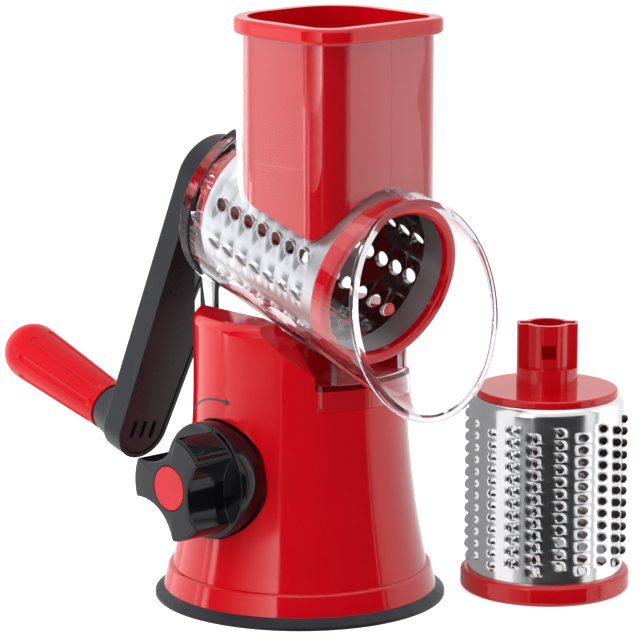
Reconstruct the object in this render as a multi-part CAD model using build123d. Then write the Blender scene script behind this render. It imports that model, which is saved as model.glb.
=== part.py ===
from build123d import *
from build123d.topology import SkipClean
import os
from math import cos, sin, radians, sqrt

# Rotary drum grater on a suction foot, in millimetres, +Z up.
# The origin is the centre of the foot's underside. The outlet faces -Y, the crank is at +Y
# and the foot's locking knob is on the -X side.

# Suction foot and skirt
pad_radius = 66.0
pad_lip_height = 1.6
pad_rim_height = 4.8
pad_web_height = 3.2
pad_boss_radius = 17.0
pad_boss_height = 9.0
skirt_foot_radius = 62.1
skirt_top_radius = 59.7
skirt_height = 9.9
skirt_edge_round = 1.5
lock_stroke = 4.0

# Column
column_foot_radius = 58.0
column_top_radius = 48.2
column_top = 132.0
column_flare_start = 105.0
column_wall = 2.6
column_edge_round = 5.0
spigot_step = 3.4
spigot_length = 4.2
spigot_clearance = 0.2
channel_half_width = 27.0
channel_floor = 104.0
cheek_front = -19.0
cheek_slope = 46.0
saddle_clearance = 1.0

# Bottom plate and its screws
plate_thickness = 2.5
plate_drop = 4.7
plate_clearance = 0.3
plate_hole_radius = 20.0
screw_count = 4
screw_circle_radius = 48.0
screw_radius = 1.5
screw_head_radius = 3.0
screw_length = 12.0
screw_boss_radius = 4.5
screw_boss_height = 16.0

# Knob, cam shaft and pull rod
knob_axis_height = 61.4
knob_skirt_radius = 26.3
knob_skirt_length = 14.0
knob_length = 34.3
knob_lobe_count = 3
knob_scoop_radius = 23.0
knob_scoop_reach = 13.4
knob_lobe_radius = 24.0
knob_lobe_angle = 33.0
knob_edge_round = 1.0
knob_cap_radius = 9.8
knob_cap_depth = 2.2
pocket_floor = 43.0
pocket_clearance = 0.7
pocket_gap = 0.6
shaft_radius = 5.0
running_clearance = 0.05
bush_radius = 8.0
bush_flange_radius = 10.5
bush_flange = 1.4
far_wall = 22.0
far_wall_thickness = 3.0
clip_thickness = 1.2
clip_groove = 1.0
shaft_end_play = 0.3
clip_radius = 8.0
cam_radius = 8.0
cam_width = 7.0
lock_turn = 90.0
yoke_thickness = 6.0
yoke_rim = 4.0
yoke_clearance = 0.2
rod_radius = 4.5
stem_radius = 4.0
stem_flange_radius = 11.0
stem_flange = 1.6
stem_height = 22.0
stem_pin_radius = 1.5
fork_gap = 0.3
fork_wall = 2.5
knob_screw_radius = 2.0
knob_screw_head_radius = 4.0
knob_screw_head = 2.4
knob_screw_length = 16.0

# Drum axis: where it crosses the column's centre line, and how far the front end leans down
axis_rise = 36.2
axis_tilt = 16.0
drum_reach = 62.6

# Drums
drum_radius = 35.4
drum_sheet = 0.7
drum_length = 90.5
drum_shoulder = 4.0
drum_end_hole_radius = 28.0
ring_radius = 38.7
ring_length = 9.4
ring_inner_radius = 33.6
ring_edge_round = 2.0
ring_groove_depth = 5.0
sheet_clearance = 0.1
hub_disc_radius = 32.4
hub_disc = 3.0
hub_plug_length = 4.0
hub_plug_clearance = 0.3
neck_radius = 14.0
neck_length = 30.0
neck_round_length = 10.0
neck_bulge_radius = 10.6
neck_ear_width = 9.0
socket_radius = 8.2
socket_slot_span = 25.0
socket_slot_width = 4.6
socket_depth = 24.0
neck_window = 6.5
neck_window_drop = 12.0

# Coarse teeth and fine teeth: columns round the drum, teeth in a column
coarse_columns = 12
coarse_teeth = 7
coarse_pitch = 9.4
coarse_first = 12.0
coarse_hole_radius = 3.3
coarse_lip = 0.6
coarse_lean = 35.0
fine_columns = 20
fine_teeth = 12
fine_pitch = 5.6
fine_first = 10.5
fine_hole_radius = 1.9
fine_lip = 0.5
fine_lean = 48.0

# How far each sheet is turned on its hub
coarse_turn = 15.0
fine_turn = -11.6

# Clear housing: barrel, mouth, chute and foot
barrel_radius = 38.3
housing_wall = 2.2
rear_wall = 3.0
rear_gap = 1.2
rear_bead = 1.0
rear_bead_length = 6.0
bead_round = 0.6
rear_collar_wall = 3.6
rear_collar_length = 14.5
neck_clearance = 0.35
mouth_half_width = 40.1
mouth_half_height = 45.7
mouth_rise = 39.9
mouth_tilt = 9.7
mouth_back = -3.7
mouth_bead = 1.0
mouth_bead_length = 2.6
chute_half_width = 38.4
chute_front = -59.2
chute_back = 16.7
chute_front_corner = 14.7
chute_back_corner = 27.8
chute_top = 259.5
sole_thickness = 3.0
sole_clearance = 0.6
sole_back = 42.0
leg_width = 4.0
leg_depth = 12.0
leg_height = 46.0
lip_drop = 9.0
lip_thickness = 2.5
lip_gap = 0.7
lip_half_angle = 31.0
front_web_offset = 20.0
front_web = 3.0
front_web_length = 18.0
front_web_height = 20.0

# Pusher
pusher_clearance = 0.8
pusher_wall = 2.0
pusher_rim_overhang = 1.1
pusher_rim_height = 7.0
pusher_rim_round = 1.6
pusher_drum_gap = 1.4

# Crank and grip
crank_neck_overlap = 8.6
crank_thickness = 12.8
crank_length = 125.0
crank_hub_radius = 20.0
crank_end_radius = 14.5
crank_wall = 2.0
crank_edge_round = 1.4
crank_swing = 10.3
cover_thickness = 2.0
cover_groove = 0.4
cover_inset = 0.5
cover_slots = 3
cover_slot_length = 9.0
cover_slot_width = 2.4
cover_slot_pitch = 6.0
hub_collar_clearance = 0.5
hub_collar_wall = 1.4
spindle_clearance = 0.25
spindle_tip_gap = 0.6
spindle_flange = 1.2
spindle_screw_radius = 2.0
spindle_screw_head_radius = 4.0
spindle_screw_head = 3.0
spindle_screw_recess = 5.9
grip_neck_length = 12.2
grip_neck_root_radius = 13.0
grip_neck_tip_radius = 11.0
grip_gap = 0.4
grip_length = 58.0
grip_root_radius = 11.6
grip_end_radius = 14.0
grip_flutes = 8
grip_flute_radius = 3.0
grip_flute_depth = 1.0
grip_flute_margin = 5.0
grip_cap_straight = 2.6
grip_recess = 4.0
axle_radius = 3.0
axle_head_radius = 5.0
axle_head = 2.5
washer_thickness = 1.0
nut_across = 10.0
nut_thickness = 4.0

# Spare drum, standing on its mouth ring beside the foot
spare_x = 90.3
spare_y = -67.9
spare_turn = -42.0

# Derived places
skirt_base = pad_rim_height
skirt_top = skirt_base + skirt_height
plate_top = skirt_top - plate_drop
plate_base = plate_top - plate_thickness
plate_radius = column_foot_radius - plate_clearance
spigot_radius = column_foot_radius - spigot_step
tilt_cos = cos(radians(axis_tilt))
tilt_sin = sin(radians(axis_tilt))
axis_height = column_top + axis_rise
drum_front = Vector(0, -drum_reach * tilt_cos, axis_height - drum_reach * tilt_sin)
drum_frame = Plane(origin=drum_front, x_dir=(-1, 0, 0), z_dir=(0, tilt_cos, tilt_sin))
arm_frame = Plane(drum_frame.location * Rot(0, 0, crank_swing))
spare_frame = Plane(Pos(spare_x, spare_y) * Rot(0, 0, spare_turn))
hub_top = drum_length + hub_disc
neck_end = hub_top + neck_length
barrel_rear = hub_top + rear_gap
barrel_end = barrel_rear + rear_wall
neck_bore = neck_radius + neck_clearance
crank_front = neck_end - crank_neck_overlap
crank_back = crank_front + crank_thickness
crank_floor = crank_back - crank_wall
spindle_tip = neck_end - socket_depth + spindle_tip_gap
spindle_screw_seat = spindle_tip + spindle_screw_recess
knob_face = pocket_floor + pocket_gap + knob_length
cam_throw = lock_stroke / (2 * sin(radians(lock_turn / 2)))
cam_rise = -cam_throw * sin(radians(lock_turn / 2))
cam_back = cam_throw * cos(radians(lock_turn / 2))
knob_frame = Plane(origin=(0, 0, knob_axis_height), x_dir=(0, -1, 0), z_dir=(-1, 0, 0))
low = (Align.CENTER, Align.CENTER, Align.MIN)
high = (Align.CENTER, Align.CENTER, Align.MAX)


def tube_z(radius, start, end):
    """A round bar along Z from start to end."""
    return Pos(0, 0, start) * Cylinder(radius, end - start, align=low)


def turned(points):
    """A solid turned round Z from a closed outline of (radius, height) points."""
    outline = make_face(Plane.XZ * Polyline(*points, close=True))
    return revolve(outline, Axis.Z)


def chute_prism(inset, base, top):
    """The chute's outline, moved in by inset: flat in front, with its back corners rounder than its front ones."""
    front = chute_front + inset
    back = chute_back - inset
    outline = Pos(0, (front + back) / 2) * Rectangle(2 * (chute_half_width - inset), back - front)
    outline = fillet(outline.vertices().group_by(Axis.Y)[0], chute_front_corner - inset)
    outline = fillet(outline.vertices().group_by(Axis.Y)[-1], chute_back_corner - inset)
    return extrude(Plane.XY.offset(base) * outline, top - base)


def wall_profile(inset, top):
    """The column's half outline, moved in by inset: straight above, flaring to the foot below."""
    upper = column_top_radius - inset
    lower = column_foot_radius - inset
    side = Line((upper, 0, top), (upper, 0, column_flare_start))
    flare = TangentArc((upper, 0, column_flare_start), (lower, 0, skirt_top), tangent=(0, 0, -1))
    edges = [side, flare]
    edges.append(Line((lower, 0, skirt_top), (0, 0, skirt_top)))
    edges.append(Line((0, 0, skirt_top), (0, 0, top)))
    edges.append(Line((0, 0, top), (upper, 0, top)))
    return make_face(Curve() + edges)


def column_core(inset, top_drop):
    """The turned column, grown inwards by inset, with its top lowered by top_drop."""
    core = revolve(wall_profile(inset, column_top - top_drop), Axis.Z)
    rim = core.edges().filter_by(GeomType.CIRCLE).sort_by(Axis.Z)[-1]
    return fillet(rim, column_edge_round - inset)


def barrel_form(grow, back):
    """The skewed barrel from its rear circle to the oval mouth, grown outwards by grow."""
    rear_plane = drum_frame.offset(back)
    rim_up = Vector(0, sin(radians(mouth_tilt)), cos(radians(mouth_tilt)))
    rim_top = drum_frame.from_local_coords((0, mouth_rise, mouth_back))
    rim_normal = Vector(0, cos(radians(mouth_tilt)), -sin(radians(mouth_tilt)))
    rim_plane = Plane(origin=rim_top - rim_up * mouth_half_height, x_dir=(-1, 0, 0), z_dir=rim_normal)
    rear = rear_plane * Circle(barrel_radius + grow)
    mouth = rim_plane * Ellipse(mouth_half_width + grow, mouth_half_height + grow)
    return loft([mouth, rear], ruled=True), rim_plane


def saddle_cuts(spread):
    """What is taken out of the column's top: channel, barrel seat and the sloping front."""
    reach = 2 * column_foot_radius
    channel = Pos(0, 0, channel_floor - spread) * Box(2 * (channel_half_width + spread), reach, reach, align=low)
    barrel = barrel_form(housing_wall + saddle_clearance + spread, barrel_end)[0]
    slope_run = (column_top - channel_floor) / sin(radians(cheek_slope)) * cos(radians(cheek_slope))
    front = cheek_front + spread
    slope = [
        (front, column_top),
        (front - slope_run, channel_floor - spread),
        (-reach, channel_floor - spread),
        (-reach, column_top + reach),
        (front, column_top + reach),
    ]
    slope_face = make_face(Plane.YZ * Polyline(*slope, close=True))
    return channel + barrel + extrude(slope_face, reach, both=True)


def make_column():
    """The column: a thin shell with two cheeks, a knob pocket, a bearing wall and screw bosses."""
    outer = column_core(0, 0)
    spigot = tube_z(spigot_radius, skirt_top - spigot_length, skirt_top)
    inner = column_core(column_wall, column_wall) - saddle_cuts(column_wall)
    inner += tube_z(spigot_radius - column_wall, skirt_top - spigot_length, skirt_top + 1)
    shell = outer - saddle_cuts(0) + spigot - inner
    pocket_radius = knob_skirt_radius + pocket_clearance
    cup = knob_frame.offset(pocket_floor - column_wall) * Cylinder(pocket_radius + column_wall, pad_radius, align=low)
    far = Pos(far_wall, 0, skirt_top) * Box(
        far_wall_thickness, 2 * column_foot_radius, channel_floor - skirt_top, align=(Align.MIN, Align.CENTER, Align.MIN)
    )
    bodies = shell + (cup & outer) + (far & outer)
    for turn in range(screw_count):
        spot = Rot(0, 0, 360 / screw_count * (turn + 0.5)) * Pos(screw_circle_radius, 0, plate_top)
        bodies += spot * Cylinder(screw_boss_radius, screw_boss_height, align=low)
        bodies -= spot * Cylinder(screw_radius + running_clearance, screw_length, align=low)
    bodies -= knob_frame.offset(pocket_floor) * Cylinder(pocket_radius, pad_radius, align=low)
    bush_bore = bush_radius + running_clearance
    bodies -= knob_frame.offset(-pad_radius) * Cylinder(bush_bore, pad_radius + pocket_floor + 1, align=low) - (
        knob_frame.offset(-pad_radius) * Cylinder(bush_bore, pad_radius - far_wall - far_wall_thickness - 1, align=low)
    )
    return bodies


def make_skirt():
    """The ring round the column's foot: it seats the column, and the bottom plate clamps it."""
    bore = spigot_radius + spigot_clearance
    counterbore = plate_radius + plate_clearance
    ring = turned(
        [
            (bore, skirt_top),
            (bore, plate_top),
            (counterbore, plate_top),
            (counterbore, skirt_base),
            (skirt_foot_radius, skirt_base),
            (skirt_top_radius, skirt_top),
        ]
    )
    edge = ring.edges().filter_by(GeomType.CIRCLE).group_by(Axis.Z)[-1].sort_by(SortBy.RADIUS)[-1]
    return fillet(edge, skirt_edge_round)


def make_pad():
    """The rubber suction pad: a flat disc with a thick rim and a boss that holds the stem."""
    boss_foot = pad_boss_radius + pad_rim_height
    inside_rim = spigot_radius - column_wall
    disc = turned(
        [
            (0, 0),
            (pad_radius, 0),
            (pad_radius, pad_lip_height),
            (skirt_foot_radius, pad_rim_height),
            (inside_rim, pad_rim_height),
            (inside_rim - pad_rim_height, pad_web_height),
            (boss_foot, pad_web_height),
            (pad_boss_radius, pad_rim_height),
            (pad_boss_radius, pad_boss_height),
            (0, pad_boss_height),
        ]
    )
    flange_room = tube_z(
        stem_flange_radius + running_clearance, pad_web_height, pad_web_height + stem_flange + running_clearance
    )
    return disc - flange_room - tube_z(stem_radius + running_clearance, pad_web_height, pad_boss_height + 1)


def make_bottom_plate():
    """The plate that closes the column, with countersunk holes."""
    plate = tube_z(plate_radius, plate_base, plate_top) - tube_z(plate_hole_radius, plate_base - 1, plate_top + 1)
    for spot in screw_spots():
        plate -= spot * screw_shape(running_clearance)
    return plate


def screw_spots():
    """Where the bottom plate's screws start, at the plate's underside."""
    step = 360 / screw_count
    return [Rot(0, 0, step * (n + 0.5)) * Pos(screw_circle_radius, 0, plate_base) for n in range(screw_count)]


def screw_shape(grow):
    """A countersunk screw pointing up from its head's flat face."""
    head_height = screw_head_radius - screw_radius
    head = Cone(screw_head_radius + grow, screw_radius + grow, head_height, align=low)
    shank = Cylinder(screw_radius + grow, screw_length, align=low)
    return head + shank


def make_bottom_plate_screws():
    """The plate's screws, as one group of separate solids."""
    return Compound(children=[spot * screw_shape(0).solid() for spot in screw_spots()])


def make_bush(start, thickness, outward):
    """A flanged bush for the cam shaft in a wall; the flange lies on the side that outward names."""
    sleeve = knob_frame.offset(start) * Cylinder(bush_radius, thickness, align=low)
    flange_start = start + thickness if outward else start - bush_flange
    flange = knob_frame.offset(flange_start) * Cylinder(bush_flange_radius, bush_flange, align=low)
    bore = knob_frame.offset(start - thickness - bush_flange) * Cylinder(
        shaft_radius + running_clearance, 3 * thickness + 3 * bush_flange, align=low
    )
    return sleeve + flange - bore


def knob_outline():
    """The knob's lobed grip: a disc with a concave scoop between each pair of lobes."""
    shape = Circle(knob_lobe_radius)
    for lobe in range(knob_lobe_count):
        angle = 90 - knob_lobe_angle + 360 / knob_lobe_count * (lobe + 0.5)
        shape -= Rot(0, 0, angle) * Pos(knob_scoop_reach + knob_scoop_radius, 0) * Circle(knob_scoop_radius)
    return shape


def make_knob():
    """The locking knob: a round skirt in the column's pocket and a lobed grip in front of it."""
    start = pocket_floor + pocket_gap
    skirt = knob_frame.offset(start) * Cylinder(knob_skirt_radius, knob_skirt_length, align=low)
    grip = extrude(knob_frame.offset(start) * knob_outline(), knob_length)
    front_edges = grip.edges().group_by(Axis.X)[0]
    grip = fillet(front_edges, knob_edge_round)
    knob = skirt + grip
    cap_floor = knob_face - knob_cap_depth
    knob -= knob_frame.offset(cap_floor) * Cylinder(knob_cap_radius + running_clearance, knob_length, align=low)
    knob -= knob_frame.offset(cap_floor - knob_screw_head) * Cylinder(
        knob_screw_head_radius + pocket_gap, knob_screw_head, align=low
    )
    knob -= knob_frame.offset(start) * Cylinder(knob_screw_radius + running_clearance, knob_length, align=low)
    knob -= knob_frame.offset(start - 1) * Cylinder(shaft_radius + running_clearance, shaft_seat() - start + 1, align=low)
    return knob


def shaft_seat():
    """How far out the cam shaft's end stands, under the knob's screw."""
    return knob_face - knob_cap_depth - knob_screw_head - column_wall


def shaft_far_end():
    """How far the cam shaft reaches past the column's centre, with its clip beyond the far wall."""
    return far_wall + far_wall_thickness + shaft_end_play + 2 * clip_thickness


def make_knob_cap():
    """The round cap that covers the knob's screw."""
    return knob_frame.offset(knob_face - knob_cap_depth) * Cylinder(knob_cap_radius, knob_cap_depth, align=low)


def make_knob_screw():
    """The screw that holds the knob on the cam shaft."""
    head_base = knob_face - knob_cap_depth - knob_screw_head
    head = knob_frame.offset(head_base) * Cylinder(knob_screw_head_radius, knob_screw_head, align=low)
    return head + knob_frame.offset(head_base) * Cylinder(knob_screw_radius, knob_screw_length, align=high)


def make_cam_shaft():
    """The shaft from the knob across the column, with the round cam that lifts the yoke."""
    far_end = shaft_far_end()
    shaft = knob_frame.offset(-far_end) * Cylinder(shaft_radius, far_end + shaft_seat(), align=low)
    cam = knob_frame.offset(-cam_width / 2) * Pos(-cam_back, cam_rise) * Cylinder(cam_radius, cam_width, align=low)
    groove_start = -far_end + clip_thickness
    groove = knob_frame.offset(groove_start) * (
        Cylinder(shaft_radius + 1, clip_thickness, align=low) - Cylinder(shaft_radius - clip_groove, clip_thickness, align=low)
    )
    hole_depth = knob_screw_length
    hole = knob_frame.offset(shaft_seat()) * Cylinder(knob_screw_radius + running_clearance, hole_depth, align=high)
    return shaft + cam - groove - hole


def make_shaft_clip():
    """The retaining clip at the far end of the cam shaft, open on one side."""
    inner = shaft_radius - clip_groove + running_clearance
    face = Circle(clip_radius) - Circle(inner) - Pos(0, clip_radius) * Rectangle(1.4 * inner, 2 * clip_radius)
    return extrude(knob_frame.offset(clip_thickness - shaft_far_end()) * face, clip_thickness)


def make_pull_rod():
    """The yoke round the cam, and the rod from it down to the fork over the pad's stem."""
    slot_half_height = cam_radius + yoke_clearance
    slot_half_length = cam_radius + cam_throw + 1
    centre = knob_axis_height + cam_rise
    frame = Rectangle(2 * (slot_half_length + yoke_rim), 2 * (slot_half_height + yoke_rim))
    frame -= Rectangle(2 * slot_half_length, 2 * slot_half_height)
    yoke = extrude(Plane.YZ.offset(-yoke_thickness / 2) * Pos(0, centre) * frame, yoke_thickness)
    fork_top = stem_height + fork_gap
    rod = tube_z(rod_radius, fork_top, centre - slot_half_height - yoke_rim / 2)
    fork_outer = stem_radius + fork_gap + fork_wall
    fork_base = stem_height - 2 * stem_radius
    fork = tube_z(fork_outer, fork_base, fork_top + fork_wall) - tube_z(stem_radius + fork_gap, fork_base - 1, fork_top)
    return yoke + rod + fork - stem_pin_bar(fork_outer + 1, running_clearance)


def stem_pin_bar(half_length, grow):
    """A round bar across the stem along Y."""
    height = stem_height - stem_radius
    return Pos(0, 0, height) * Rot(90, 0, 0) * Cylinder(stem_pin_radius + grow, 2 * half_length)


def make_stem_pin():
    """The pin that joins the pull rod to the pad's stem."""
    return stem_pin_bar(stem_radius + fork_gap + fork_wall, 0)


def make_pad_stem():
    """The stem whose flange is bonded in the pad's boss."""
    flange = tube_z(stem_flange_radius, pad_web_height, pad_web_height + stem_flange)
    stem = tube_z(stem_radius, pad_web_height, stem_height)
    return flange + stem - stem_pin_bar(2 * stem_radius, running_clearance)


def make_housing():
    """The clear housing: barrel and mouth round the drum, food chute, rear bearing and foot."""
    outer, rim_plane = barrel_form(housing_wall, barrel_end)
    inner = barrel_form(0, barrel_rear)[0]
    bead_start = barrel_end - rear_bead_length
    bead = drum_frame * tube_z(barrel_radius + housing_wall + rear_bead, bead_start, barrel_end)
    bead = fillet(bead.edges().filter_by(GeomType.CIRCLE), bead_round)
    rim_grow = housing_wall + mouth_bead
    rim = extrude(Ellipse(mouth_half_width + rim_grow, mouth_half_height + rim_grow), mouth_bead_length)
    rim = rim_plane * fillet(rim.edges().filter_by(GeomType.ELLIPSE), bead_round)
    span = 2 * chute_top
    above_axis = drum_frame * Pos(0, span / 2, 0) * Box(2 * span, span, 2 * span)
    chute = chute_prism(0, 0, chute_top) & above_axis
    shaft = chute_prism(housing_wall, 0, chute_top + 1) & above_axis
    collar_end = barrel_end + rear_collar_length
    collar = drum_frame * tube_z(neck_bore + rear_collar_wall, barrel_rear, collar_end)
    body = outer + bead + rim + chute + collar + housing_foot()
    body = body - inner - shaft
    return body - drum_frame * tube_z(neck_bore, barrel_rear - 1, collar_end + 1)


def housing_foot():
    """The sole in the column's channel, its legs under the barrel and the lip over the front edge."""
    half_width = channel_half_width - sole_clearance
    lip_inner = column_top_radius + lip_gap
    lip_outer = lip_inner + lip_thickness
    sole_top = channel_floor + sole_thickness
    reach = 2 * pad_radius
    strip = Pos(0, sole_back, channel_floor) * Box(
        2 * half_width, reach, sole_thickness, align=(Align.CENTER, Align.MAX, Align.MIN)
    )
    foot = strip & tube_z(lip_outer, channel_floor, sole_top)
    band = tube_z(lip_outer, channel_floor - lip_drop, sole_top) - tube_z(lip_inner, 0, sole_top)
    half_chord = lip_outer * sin(radians(lip_half_angle))
    foot += band & (Pos(0, -reach / 2, 0) * Box(2 * half_chord, reach, 2 * column_top))
    for side in (-1, 1):
        leg_x = side * (half_width - leg_width / 2)
        foot += Pos(leg_x, sole_back - leg_depth / 2, channel_floor) * Box(leg_width, leg_depth, leg_height, align=low)
        web_y = -sqrt(lip_inner**2 - front_web_offset**2)
        foot += Pos(side * front_web_offset, web_y, channel_floor) * Box(
            front_web, front_web_length, front_web_height, align=(Align.CENTER, Align.MIN, Align.MIN)
        )
    return foot


def make_pusher():
    """The pusher: a hollow box open at the top, with a rim on the chute and a floor bent over the drum."""
    inset = housing_wall + pusher_clearance
    belly = barrel_radius + pusher_drum_gap
    top = chute_top + pusher_rim_height
    span = 2 * chute_top
    above_axis = drum_frame * Pos(0, span / 2, 0) * Box(2 * span, span, 2 * span)
    body = chute_prism(inset, 0, top) & above_axis
    room = chute_prism(inset + pusher_wall, 0, top + 1) & above_axis
    room -= drum_frame * tube_z(belly + pusher_wall, -span, span)
    rim = chute_prism(-pusher_rim_overhang, chute_top, top)
    rim = fillet(rim.edges().filter_by(Plane.XY), pusher_rim_round)
    return body + rim - room - drum_frame * tube_z(belly, -span, span)


def arm_outline(inset):
    """The crank arm's outline, hub at the origin and the grip's end below, moved in by inset."""
    hub = crank_hub_radius - inset
    end = crank_end_radius - inset
    fall = (hub - end) / crank_length
    side = sqrt(1 - fall * fall)
    hub_low = -hub * fall
    end_low = -crank_length - end * fall
    edges = [Line((-hub * side, hub_low), (-end * side, end_low))]
    edges.append(ThreePointArc((-end * side, end_low), (0, -crank_length - end), (end * side, end_low)))
    edges.append(Line((end * side, end_low), (hub * side, hub_low)))
    edges.append(ThreePointArc((hub * side, hub_low), (0, hub), (-hub * side, hub_low)))
    return make_face(Curve() + edges)


def make_crank_arm():
    """The arm: a tray open towards the drum, with a hub collar and a neck for the grip."""
    arm = extrude(Plane.XY.offset(crank_front) * arm_outline(0), crank_thickness)
    arm = fillet(arm.edges().group_by(Axis.Z)[-1], crank_edge_round)
    arm -= extrude(Plane.XY.offset(crank_front) * arm_outline(crank_wall), crank_thickness - crank_wall)
    collar_bore = neck_radius + hub_collar_clearance
    collar = tube_z(collar_bore + hub_collar_wall, crank_front, crank_floor)
    arm += collar - tube_z(collar_bore, crank_front, crank_floor)
    post = Pos(0, -crank_length, crank_front + cover_inset + cover_thickness)
    arm += post * Cylinder(nut_across, crank_floor - post.position.Z, align=low)
    neck = Cone(grip_neck_root_radius, grip_neck_tip_radius, grip_neck_length, align=low)
    arm += Pos(0, -crank_length, crank_back) * neck
    arm -= Pos(0, -crank_length, crank_front) * Cylinder(axle_radius + running_clearance, 2 * crank_length, align=low)
    nut = RegularPolygon(nut_across / 2 + running_clearance, 6, major_radius=False)
    arm -= extrude(post * nut, nut_thickness)
    arm -= tube_z(spindle_screw_radius + running_clearance, crank_floor, crank_back)
    return arm_frame * arm


def make_crank_arm_cover():
    """The plate that closes the arm, let in behind a narrow groove, with short slanted slots."""
    plate = arm_outline(crank_wall + cover_groove)
    plate -= Circle(neck_radius + hub_collar_clearance + hub_collar_wall + cover_groove)
    for slot in range(cover_slots):
        offset = (slot - (cover_slots - 1) / 2) * cover_slot_pitch
        hole = Rot(0, 0, 90) * SlotOverall(cover_slot_length, cover_slot_width)
        plate -= Pos(offset, -crank_length) * hole
    return arm_frame * extrude(Plane.XY.offset(crank_front + cover_inset) * plate, cover_thickness)


def make_crank_spindle():
    """The keyed spindle that drives the drum's neck, screwed to the floor of the arm."""
    round_core = Circle(socket_radius - spindle_clearance)
    key = Rectangle(socket_slot_span - 2 * spindle_clearance, socket_slot_width - 2 * spindle_clearance)
    spindle = extrude(Plane.XY.offset(spindle_tip) * (round_core + key), crank_floor - spindle_tip)
    flange_radius = neck_radius + hub_collar_clearance - spindle_clearance
    spindle += tube_z(flange_radius, crank_floor - spindle_flange, crank_floor)
    spindle -= tube_z(spindle_screw_radius + running_clearance, spindle_tip - 1, crank_floor + 1)
    spindle -= tube_z(spindle_screw_head_radius + spindle_clearance, spindle_tip - 1, spindle_screw_seat)
    return drum_frame * spindle


def make_spindle_screw():
    """The screw down the middle of the spindle into the arm."""
    screw = tube_z(spindle_screw_radius, spindle_screw_seat, crank_back)
    screw += tube_z(spindle_screw_head_radius, spindle_screw_seat - spindle_screw_head, spindle_screw_seat)
    return drum_frame * screw


def grip_start():
    """Where the grip's root stands along the crank axis, just clear of the neck."""
    return crank_back + grip_neck_length + grip_gap


def make_grip_axle():
    """The shoulder screw that the grip turns on, with its head inside the grip's cap."""
    head_base = grip_start() + grip_length - grip_recess + washer_thickness
    start = crank_front + cover_inset + cover_thickness + 1
    axle = tube_z(axle_radius, start, head_base) + tube_z(axle_head_radius, head_base, head_base + axle_head)
    return arm_frame * Pos(0, -crank_length) * axle


def make_axle_washer():
    """The washer between the axle's head and the grip."""
    base = grip_start() + grip_length - grip_recess
    washer = tube_z(axle_head_radius + 1, base, base + washer_thickness)
    washer -= tube_z(axle_radius + running_clearance, base - 1, base + washer_thickness + 1)
    return arm_frame * Pos(0, -crank_length) * washer


def make_axle_nut():
    """The hexagonal nut let into the arm."""
    base = crank_front + cover_inset + cover_thickness
    nut = extrude(Plane.XY.offset(base) * RegularPolygon(nut_across / 2, 6, major_radius=False), nut_thickness)
    nut -= tube_z(axle_radius + running_clearance, base - 1, base + nut_thickness + 1)
    return arm_frame * Pos(0, -crank_length) * nut


def make_grip():
    """The turning grip: a taper with long flutes, bored for the axle."""
    start = grip_start()
    end = start + grip_length
    room = axle_head_radius + 1 + pocket_gap
    recess = end - grip_recess - running_clearance
    grip = turned([(0, start), (grip_root_radius, start), (grip_end_radius, end), (0, end)])
    grip -= tube_z(axle_radius + running_clearance, start - 1, end)
    grip -= tube_z(room, recess, end + 1)
    taper = (grip_end_radius - grip_root_radius) / grip_length
    flute_length = grip_length - 2 * grip_flute_margin
    first = start + grip_flute_margin
    depth_at = grip_root_radius + taper * grip_flute_margin - grip_flute_depth + grip_flute_radius
    run = Line((depth_at, 0, first), (depth_at + taper * flute_length, 0, first + flute_length))
    flute = sweep(Plane(origin=run @ 0, z_dir=run % 0) * Circle(grip_flute_radius), run)
    flute += Pos(run @ 0) * Sphere(grip_flute_radius) + Pos(run @ 1) * Sphere(grip_flute_radius)
    for number in range(grip_flutes):
        grip -= Rot(0, 0, 360 / grip_flutes * number) * flute
    return arm_frame * Pos(0, -crank_length) * grip


def make_grip_cap():
    """The domed end cap of the grip, with a spigot in the grip's recess."""
    start = grip_start() + grip_length
    straight = start + grip_cap_straight
    profile = Curve() + [
        Line((0, 0, start), (grip_end_radius, 0, start)),
        Line((grip_end_radius, 0, start), (grip_end_radius, 0, straight)),
        Plane.XZ * CenterArc((0, straight), grip_end_radius, 0, 90),
        Line((0, 0, straight + grip_end_radius), (0, 0, start)),
    ]
    cap = revolve(make_face(profile), Axis.Z)
    head_top = start - grip_recess + washer_thickness + axle_head
    cap -= tube_z(axle_head_radius + 1, start - 1, head_top + grip_gap)
    return arm_frame * Pos(0, -crank_length) * cap


def tooth_places(columns, step, teeth, pitch, first, lean):
    """A frame at each tooth of some neighbouring columns: on the drum's surface, leaning round it."""
    places = []
    for column in range(columns):
        angle = radians(step * column)
        outward = Vector(cos(angle), sin(angle), 0)
        along = Vector(-sin(angle), cos(angle), 0)
        aim = outward * cos(radians(lean)) - along * sin(radians(lean))
        start = drum_length - first - pitch / 2 * column
        for tooth in range(teeth):
            spot = outward * drum_radius + Vector(0, 0, start - pitch * tooth)
            places.append(Plane(origin=spot, x_dir=(0, 0, 1), z_dir=aim))
    return places


def rounded_bar(radius, base, top, round_radius):
    """A round bar along Z with its upper edge rounded."""
    bar = tube_z(radius, base, top)
    edge = bar.edges().filter_by(GeomType.CIRCLE).sort_by(Axis.Z)[-1]
    return fillet(edge, round_radius)


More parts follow.
